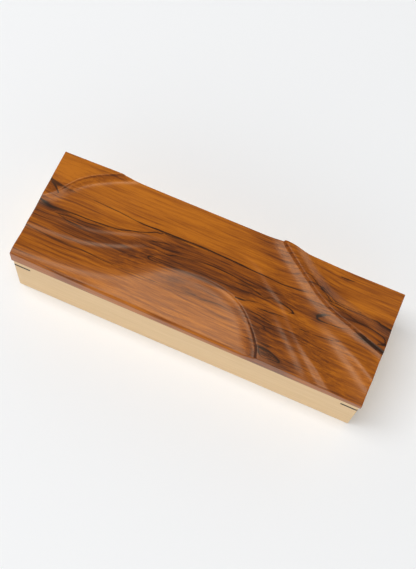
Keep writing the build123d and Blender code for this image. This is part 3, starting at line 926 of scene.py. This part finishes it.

# %% [markdown]
# Now the carving itself. The tree adds up the height of every point of the blank, lets a pass of
# blur stand for the sandpaper that rounds a carved edge, turns the rims down, cuts the mortises and
# then writes on the points the figure of the wood, the slope for end grain, and where painted shade
# goes: on steep faces and in a thin line along each arris. The guide lines run in plan as those of
# the solid model do. The walls beside them are finer here: a gouge leaves a short steep face at the
# arris and a hollow at its foot. The rear end of the ridge is a little lower, as the photograph's
# outline shows.

# %% Sizes of the carving
front_heights, rear_heights = (13.6 * mm, 6.2 * mm), (12.4 * mm, 8.6 * mm)  # left and right ends
bay_start = 0.3 * mm  # the bay's floor at the front edge, above the board's slope
bay_sink = 1.6 * mm  # how much lower that is at the right-hand end of the bay
bay_slope, bay_slope_more = 0.15, 0.13
bay_crown, bay_crown_width = 0.7 * mm, 45 * mm
bay_sinks, bay_levels, rim_sharpens = (0.30, 0.63), (0.01, 0.43), (0.30, 0.44)  # along the lid
mound_place, mound_spread = (0.795, 0.01), (0.118, 0.255)  # along, across
dish_place, dish_spread = (0.844, 1.01), (0.105, 0.235)
arris_face = 1.1 * mm  # width of the steep face at an arris
arris_cut = 0.24  # its share of the wall's height
front_mound = 2.6 * mm  # soft mound at the front, right of the rim
rear_dish = 1.8 * mm  # soft dip at the rear, right of the ridge
ridge_hollow = 2.1 * mm  # height of the hollow at the foot of the ridge's wall
ridge_skirt, ridge_skirt_share = 28 * mm, 0.25
ridge_flat_share = 0.18  # share of the ridge's reach that stays at full height
blade_fade, swell_fade = 6 * mm, 8 * mm
# A thin line of painted shade along each arris: its offset, its width, its fade past a line's end,
# the heights where it shows, and where it starts along the rim.
arris_shade_offset, arris_shade_width, arris_shade_fade = 0.3 * mm, 0.40 * mm, 6 * mm
arris_shade_heights = (1.5 * mm, 4.0 * mm)  # none where the carving is lower, full where it is higher
rim_arris_shade = (0.34, 0.46)  # along the lid: no crease before, full after
rim_fall = 1.5  # how fast the ground falls behind the rim
hollow_at_most = 0.6  # of the ridge's height
front_rounds, front_sharpens = (0.04, 0.30), (0.60, 0.70)  # along the lid
# Beside the ridge's arris, most of the steep faces' darkening, which is end grain and painted shade,
# is left out.
arris_clears, arris_clear_share = (-2.4 * mm, -0.4 * mm), 0.85  # no dark end grain on the ridge
streak_pull, streak_pull_reach = 0.7, 8 * mm  # how far the grain follows a streak's waves
tone_squeeze = 0.35  # tones reach further along the grain than across it


# %% Profiles
def carved_wall(distance, wall, cut):
    """Profile of a carved wall from its arris, 1, to the ground, 0. The share called cut is a short
    steep face at the arris, and the rest is a hollow that runs out at its foot."""
    far = calc("MAXIMUM", distance, 0.0)
    face = 1 - ease(0.0, arris_face, far)
    return face * cut + exp(-square(far / wall)) * (1 - cut)


def bump_at(along, across, middle, spread):
    """A soft round bump of height 1, placed and sized in shares of the lid."""
    return exp(-square((along - middle[0]) / spread[0]) - square((across - middle[1]) / spread[1]))


def sloping(ends, along):
    return ends[0] * (1 - along) + ends[1] * along


# %% Height of the carving
def carve_height(y, along, across, width, beside):
    """Height of the lid's top above its underside, as a formula of the place on it."""
    height = sloping(front_heights, along) * (1 - across) + sloping(rear_heights, along) * across

    side, crest, reach, wall, _ = beside("Rim")
    behind = calc("GREATER_THAN", side, 0.0)
    from_front = y + width / 2
    bay = bay_start - ease(*bay_sinks, along) * bay_sink
    bay += (bay_slope + (1 - ease(*bay_levels, along)) * bay_slope_more) * from_front
    bay += calc("SINE", calc("MINIMUM", from_front / bay_crown_width, 1.0) * math.pi) * bay_crown
    before = bay + (crest - bay) * carved_wall(-side, wall, ease(*rim_sharpens, along) * arris_cut)
    after = crest / (1 + square(side / reach)) ** rim_fall
    after += bump_at(along, across, mound_place, mound_spread) * front_mound
    height += before * (1 - behind) + after * behind

    side, crest, reach, wall, _ = beside("Ridge")
    behind = calc("GREATER_THAN", side, 0.0)
    hollow = calc("MINIMUM", ridge_hollow / crest, hollow_at_most)
    share = 1 - ridge_skirt_share
    scoop = carved_wall(-side, wall, (share - hollow) / share) * share
    scoop += exp(calc("MINIMUM", side, 0.0) / ridge_skirt) * ridge_skirt_share
    fall = 1 - ease(ridge_flat_share, 1.0, side / reach)
    dish = bump_at(along, across, dish_place, dish_spread) * rear_dish
    height += crest * (scoop * (1 - behind) + fall * behind) - dish * behind

    side, crest, reach, wall, past = beside("Blade")
    high_side = exp(calc("MINIMUM", side, 0.0) / reach)
    low_side = carved_wall(side, wall, arris_cut)
    height += crest * high_side * low_side * exp(-square(past / blade_fade))

    for name in swell_names:
        side, crest, reach, wall, past = beside(name)
        behind = calc("GREATER_THAN", side, 0.0)
        spread = wall + (reach - wall) * behind
        height += crest * exp(-square(side / spread) - square(past / swell_fade))
    return height


# %% Creases and helpers of the lid's tree
def painted_arris_shade(along, beside):
    """1 in a thin line of painted shade along a sharp arris, and the place beside the ridge."""
    arris_shades = []
    for name, towards in (("Rim", -1), ("Ridge", -1), ("Blade", 1)):
        side, crest, _, _, past = beside(name)
        if name == "Ridge":
            beside_ridge = side
        off = (side * towards - arris_shade_offset) / arris_shade_width
        crisp = ease(*rim_arris_shade, along) if name == "Rim" else ease(*arris_shade_heights, crest)
        arris_shades.append(exp(-square(off) - square(past / arris_shade_fade)) * crisp)
    return calc("MAXIMUM", calc("MAXIMUM", arris_shades[0], arris_shades[1]), arris_shades[2]), beside_ridge


def blurred(value, passes, weight=1.0):
    values = {"Value": value, "Iterations": passes, "Weight": weight}
    return out(put(value.tree, "GeometryNodeBlurAttribute", values, data_type="FLOAT"), "Value")


def moved(geometry, selection, x, y, z):
    place = join(geometry.tree, x, y, z)
    values = {"Geometry": geometry, "Selection": selection, "Position": place}
    return out(put(geometry.tree, "GeometryNodeSetPosition", values))


# %% The tree that carves the lid
def lid_tree():
    tree, given, result = new_tree(
        "Carved lid", "GeometryNodeTree",
        {"Geometry": ["Board"],
         "Float": ["Length", "Width", "Underside", "Edge radius", "Front radius at the ends",
                   "Front radius in the middle"],
         "Int": ["Sanding passes", "Tone passes", "Flow passes"],
         "Object": [*carving, *figure, "Hinge rooms"], "Material": ["Wood"]},
        {"Geometry": ["Lid"]},
    )

    def beside(name):
        node = put(tree, "GeometryNodeGroup", {"Line": given[name]}, node_tree=beside_carving)
        side, past = out(node, "Side"), out(node, "Past")
        return side, *(out(node, part) * mm for part in carving_names), past

    x, y, z = split(position(tree))
    turn_x, turn_y, _ = split(named(tree, "turned", "FLOAT_VECTOR"))
    on_top = calc("GREATER_THAN", named(tree, "is_top"), 0.5)
    width, radius = given["Width"], given["Edge radius"]
    along, across = x / given["Length"] + 0.5, y / width + 0.5
    share = (y + width / 2) / (width - radius)
    middle = ease(*front_rounds, along) * (1 - ease(*front_sharpens, along))
    ends = given["Front radius at the ends"]
    front_radius = ends + (given["Front radius in the middle"] - ends) * middle

    board = moved(given["Board"], on_top, x, y + front_radius * (1 - share), z)
    carved = given["Underside"] + carve_height(y, along, across, width, beside)
    board = moved(board, on_top, x, y, carved)
    outermost = calc("MAXIMUM", calc("ABSOLUTE", turn_x), calc("ABSOLUTE", turn_y))
    sanded = blurred(z, given["Sanding passes"], calc("LESS_THAN", outermost, 0.99) * on_top)
    board = moved(board, on_top, x, y, sanded)
    radius_y = radius + (front_radius - radius) * calc("LESS_THAN", turn_y, 0.0)
    angle_x, angle_y = turn_x * (math.pi / 2), turn_y * (math.pi / 2)
    drop = radius * (1 - calc("COSINE", angle_x)) + radius_y * (1 - calc("COSINE", angle_y))
    board = moved(board, on_top, x + radius * calc("SINE", angle_x),
                  y + radius_y * calc("SINE", angle_y), z - drop)
    board = cut_away(board, shape_of(given["Hinge rooms"]))

    streak = put(tree, "GeometryNodeGroup", {"Line": given["Streaks"]}, node_tree=beside_streak)
    gap = out(streak, "Gap")
    level = (out(streak, "level") / 100 - 0.5) * width
    near = exp(-square(gap / streak_pull_reach))
    shift = (out(streak, "Line y") - level) * near * streak_pull
    squeezed = {"Geometry": shape_of(given["Tones"]), "Scale": (tone_squeeze, 1, 1)}
    tones = out(put(tree, "GeometryNodeTransform", squeezed))
    tone = sampled(tones, nearest_point(tones, x * tone_squeeze, y), named(tree, "tone"))
    # Attributes for the material: a line of painted shade along the arrises, and the slope, which
    # darkens steep faces for end grain and as painted shade.
    crease, beside_ridge = painted_arris_shade(along, beside)
    not_ridge = 1 - ease(*arris_clears, beside_ridge) * arris_clear_share
    normal_z = split(out(put(tree, "GeometryNodeInputNormal")))[2]
    top_only = calc("LESS_THAN", outermost, 0.01) * on_top
    for name, value in (
        ("slope", (1 - normal_z) * not_ridge * top_only),
        ("crease", crease * calc("LESS_THAN", outermost, 0.5) * on_top),
        ("streak_side", out(streak, "Side")),
        ("streak_gap", gap),
        ("streak_width", out(streak, "half_width") * mm),
        ("streak_dark", out(streak, "darkness")),
        ("grain_across", y - blurred(shift, given["Flow passes"])),
        ("tone", blurred(tone, given["Tone passes"])),
    ):
        values = {"Geometry": board, "Name": name, "Value": value}
        board = out(put(tree, "GeometryNodeStoreNamedAttribute", values, data_type="FLOAT",
                        domain="POINT"))
    finish_tree(board, given["Wood"], result["Lid"])
    return tree


# %% Carve the lid
front_radii = (0.8 * mm, 2.8 * mm)  # of the front edge, at its ends and in its middle
made_plain(lid, lid_tree(), {
    "Length": lid_length, "Width": lid_width, "Underside": underside, "Edge radius": edge_radius,
    "Front radius at the ends": front_radii[0], "Front radius in the middle": front_radii[1],
    "Sanding passes": 1, "Tone passes": 120, "Flow passes": 200, **carving, **figure,
    "Hinge rooms": rooms, "Wood": lid_wood,
})
smooth_shaded(lid, 38)
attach(lid, "lid")
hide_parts("lid_panel")
for guide in (*carving.values(), *figure.values(), rooms):
    bpy.data.objects.remove(guide)
top = max(corner.co.z for corner in lid.data.vertices)
print("lid of", len(lid.data.polygons), "faces, top at", round(top / mm, 2), "mm")

# %% [markdown]
# The walls are pale and straight-grained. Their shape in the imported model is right, so they only
# get a finish. The grain runs along each wall, so on the two end walls the pattern is turned a
# quarter with a Mapping node. The keys in the corners are dark wood, with their grain across the
# mitre.


# %% Pale walls, dark keys and bottom panel
def plain_wood(name, light, dark, spacing, turn, seed, roughness, contrast):
    """Straight-grained wood: two colours, the spacing of its lines and the turn of its grain."""
    material, tree, shader = new_material(name, Roughness=roughness)
    place = object_place(tree)
    mapping = {"Vector": place, "Rotation": (0, 0, math.radians(turn))}
    turned = out(put(tree, "ShaderNodeMapping", mapping))
    lines, bands, pores = grain(tree, turned, spacing, stretch=28.0, Seed=seed)
    colour = blend_colours(tree, (lines * 0.6 + bands * 0.4) * contrast, light, dark)
    colour = blend_colours(tree, pores * contrast * 0.5, colour, dark)
    rough = satin_roughness(tree, place, roughness, unevenness=0.05, scale=90.0)
    relief = bump(tree, lines - pores, distance=0.02 * mm, strength=0.3)
    feed(shader, {"Base Color": colour, "Roughness": rough, "Normal": relief})
    return material


def finish_nodes(material, *names):
    for name in names:
        mesh = frame["nodes"][name].data
        mesh.materials.clear()
        mesh.materials.append(material)


pale = ((0.78, 0.555, 0.300), (0.63, 0.41, 0.195), 1.1 * mm)
key_brown = ((0.035, 0.016, 0.014), (0.012, 0.007, 0.007), 0.5 * mm)
panel_tan = ((0.74, 0.54, 0.32), (0.60, 0.41, 0.23), 1.6 * mm)
pale_satin = {"roughness": 0.5, "contrast": 0.6}
long_wall_wood = plain_wood("pale wood", *pale, turn=0, seed=1.0, **pale_satin)
end_wall_wood = plain_wood("pale wood of the ends", *pale, turn=90, seed=2.0, **pale_satin)
key_wood = plain_wood("key wood", *key_brown, turn=45, seed=4.0, roughness=0.55, contrast=0.8)
key_wood.node_tree.nodes["Principled BSDF"].inputs["Specular IOR Level"].default_value = 0.15
panel_wood = plain_wood("panel wood", *panel_tan, turn=0, seed=5.0, roughness=0.6, contrast=0.7)
finish_nodes(long_wall_wood, "front_wall", "rear_wall")
finish_nodes(end_wall_wood, "left_wall", "right_wall")
finish_nodes(key_wood, *(name for name in frame["nodes"] if name.startswith("corner_key")))
finish_nodes(panel_wood, "bottom_panel")

# %% [markdown]
# The hinges are solid brass butts. Rolled brass has fine lines from its polishing, which run along
# the hinge, and is a little uneven in its shine where it has been handled.

# %% Brass
brass_bright, brass_tarnished = (0.80, 0.56, 0.24), (0.55, 0.36, 0.15)
brush_spacing = 0.12 * mm


def brass_material():
    material, tree, shader = new_material("satin brass", Metallic=1.0)
    place = object_place(tree)
    brushed, _, _ = grain(tree, place, brush_spacing, stretch=60.0, Waviness=0.0)
    tarnish = ease(0.45, 0.75, noise(tree, place, scale=140.0, detail=2.0))
    colour = blend_colours(tree, tarnish * 0.4, brass_bright, brass_tarnished)
    rough = satin_roughness(tree, place, roughness=0.30, unevenness=0.10, scale=220.0)
    rough += brushed * 0.06
    relief = bump(tree, brushed, distance=0.01 * mm, strength=0.25)
    feed(shader, {"Base Color": colour, "Roughness": rough, "Normal": relief})
    return material


brass = brass_material()
finish_nodes(brass, *(name for name in frame["nodes"] if "hinge" in name and "screws" not in name))

# %% [markdown]
# Every leaf is held by two slotted screws. One screw is turned on a lathe, so to speak: its outline
# goes round in steps, and a narrow block cuts its slot. The tree then sets copies of it at the
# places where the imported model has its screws, each with its slot at another angle, because nobody
# lines up the slots of such small screws.

# %% Sizes of the screws
screw_low, screw_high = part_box("left_hinge_body_screws")
head_radius = (screw_high.y - screw_low.y) / 2
screw_spacing = screw_high.x - screw_low.x - 2 * head_radius
screw_middle = (screw_low.x + screw_high.x) / 2
screw_y = (screw_low.y + screw_high.y) / 2
shank_radius, head_height, crown = 1.1 * mm, 1.0 * mm, 0.06 * mm
slot_length, slot_width, slot_depth = 2.6 * head_radius, 0.5 * mm, 0.4 * mm
lathe_steps = 36
shank_share, taper_share = 0.7, 0.9  # of the screw's length, down to the end of each
first_seed = 7


# %% Shapes of a screw and its slot
def screw_shape(length):
    """A countersunk screw with its head's top at the origin and its tip below."""
    outline = [(0.6 * head_radius, 0), (head_radius - crown, -0.3 * crown), (head_radius, -crown),
               (shank_radius, -head_height), (shank_radius, -length * shank_share),
               (0.5 * shank_radius, -length * taper_share)]
    turns = [math.tau * i / lathe_steps for i in range(lathe_steps)]
    points = [(0, 0, 0)]
    points += [(r * math.cos(a), r * math.sin(a), z) for r, z in outline for a in turns]
    points.append((0, 0, -length))
    around = list(range(1, lathe_steps + 1))
    pairs = list(zip(around, around[1:] + around[:1]))
    faces = [(0, a, b) for a, b in pairs]
    for step in range(0, (len(outline) - 1) * lathe_steps, lathe_steps):
        below = step + lathe_steps
        faces += [(a + step, a + below, b + below, b + step) for a, b in pairs]
    faces += [(b + below, a + below, len(points) - 1) for a, b in pairs]
    return new_piece("screw_blank", mesh_of("screw_blank", points, faces))


def slot_block():
    ends, sides = (-slot_length / 2, slot_length / 2), (-slot_width / 2, slot_width / 2)
    corners = [(x, y, z) for x in ends for y in sides for z in (-slot_depth, slot_depth)]
    faces = [(0, 1, 3, 2), (4, 6, 7, 5), (0, 4, 5, 1), (2, 3, 7, 6), (0, 2, 6, 4), (1, 5, 7, 3)]
    return new_piece("slot_block", mesh_of("slot_block", corners, faces))


# %% The tree that sets the screws
def screws_tree():
    tree, given, result = new_tree(
        "Screws", "GeometryNodeTree",
        {"Geometry": ["Start"], "Object": ["Screw", "Slot"],
         "Float": ["From middle", "Spacing", "Across", "Height", "Turned over"],
         "Int": ["Seed"], "Material": ["Brass"]},
        {"Geometry": ["Screws"]},
    )
    number = out(put(tree, "GeometryNodeInputIndex"))
    hinge = calc("FLOOR", number / 2) * 2 - 1
    in_leaf = calc("MODULO", number, 2.0) - 0.5
    x = hinge * given["From middle"] + in_leaf * given["Spacing"]
    place = join(tree, x, given["Across"], given["Height"])
    points = out(put(tree, "GeometryNodePoints", {"Count": 4, "Position": place}))
    slotted = cut_away(shape_of(given["Screw"]), shape_of(given["Slot"]))
    any_turn = {"Min": 0.0, "Max": math.pi, "Seed": given["Seed"]}
    spin = put(tree, "FunctionNodeRandomValue", any_turn, data_type="FLOAT")
    turn = join(tree, given["Turned over"] * math.pi, 0.0, out(spin, "Value"))
    rotation = out(put(tree, "FunctionNodeEulerToRotation", {"Euler": turn}))
    copies = {"Points": points, "Instance": slotted, "Rotation": rotation}
    shape = out(put(tree, "GeometryNodeInstanceOnPoints", copies))
    finish_tree(shape, given["Brass"], result["Screws"])
    return tree


# %% Hinge screws
screws = screws_tree()
slot = slot_block()
for body, where, over in (("box", "body", 0.0), ("lid", "lid", 1.0)):
    low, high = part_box(f"left_hinge_{where}_screws")
    blank = screw_shape(high.z - low.z)
    piece = new_piece(f"hinge_screws_{body}", bpy.data.meshes.new("start"))
    made_plain(piece, screws, {
        "Screw": blank, "Slot": slot, "From middle": abs(screw_middle), "Spacing": screw_spacing,
        "Across": screw_y, "Height": low.z if over else high.z, "Turned over": over,
        "Seed": first_seed + int(over), "Brass": brass,
    })
    bpy.data.objects.remove(blank)
    smooth_shaded(piece, 30)
    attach(piece, body)
    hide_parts(f"left_hinge_{where}_screws", f"right_hinge_{where}_screws")
    print(piece.name, len(piece.data.polygons), "faces")
bpy.data.objects.remove(slot)

# %% [markdown]
# A sheet of wool felt lies loose on the bottom panel. It is cut to the inside of the box less a
# small gap all round, and it is thick enough to show its cut edge. The sheet is a closed slab with
# a close grid on top, whose points rise and fall by a few hundredths of a millimetre.

# %% Shape of the felt liner
felt_low, felt_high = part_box("felt_liner")
felt_spacing = 1.2 * mm
felt_ripple = 0.06 * mm
felt_round = 0.35 * mm
felt_seed = 11


def felt_places(low, high):
    """Places of the grid's points from low to high, with a narrow row for the rounded rim."""
    count = round((high - low) / felt_spacing)
    start, inner = low + felt_round, high - low - 2 * felt_round
    between = [start + inner * i / count for i in range(1, count)]
    return [low, start, *between, high - felt_round, high]


def felt_mesh():
    """A closed slab: a top grid whose rim is rounded down, sides and a flat face below."""
    xs, ys = felt_places(felt_low.x, felt_high.x), felt_places(felt_low.y, felt_high.y)
    ripple = np.random.default_rng(felt_seed).random((len(xs), len(ys)))
    for _ in range(3):
        beside = np.roll(ripple, 1, 0), np.roll(ripple, 1, 1), np.roll(ripple, -1, 0)
        ripple = (ripple + beside[0] + beside[1] + beside[2]) / 4
    dips = felt_ripple * ripple
    dips[[0, -1], :] = felt_round
    dips[:, [0, -1]] = felt_round
    points = [(x, y, felt_high.z - dips[i, j]) for i, x in enumerate(xs) for j, y in enumerate(ys)]
    faces, rim = grid_and_rim(len(xs), len(ys))
    ring = list(range(len(points), len(points) + len(rim)))
    points += [(points[i][0], points[i][1], felt_low.z) for i in rim]
    return mesh_of("wool_felt", points, closed_below(faces, rim, ring))


# %% Felt
felt_dark, felt_light = (0.045, 0.034, 0.028), (0.130, 0.100, 0.082)


def felt_material():
    material, tree, shader = new_material(
        "wool felt", Roughness=0.95, Sheen_Weight=0.35, Sheen_Roughness=0.5)
    place = object_place(tree)
    fibres = noise(tree, place, scale=1700.0, detail=3.0, roughness=0.7)
    clouds = noise(tree, place, scale=90.0, detail=2.0)
    share = ease(0.25, 0.75, fibres * 0.75 + clouds * 0.25)
    colour = blend_colours(tree, share, felt_dark, felt_light)
    relief = bump(tree, fibres, distance=0.25 * mm, strength=0.7)
    feed(shader, {"Base Color": colour, "Normal": relief})
    return material


felt = new_piece("wool_felt_liner", felt_mesh())
felt.data.materials.append(felt_material())
smooth_shaded(felt, 50)
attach(felt, "box")
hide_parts("felt_liner")

# %% [markdown]
# Last, the size of what is shown is printed, so that a piece that has grown is found at once.

# %% Sizes and finish
low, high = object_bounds()
print("shown size in mm:", [round(side / mm, 2) for side in high - low])
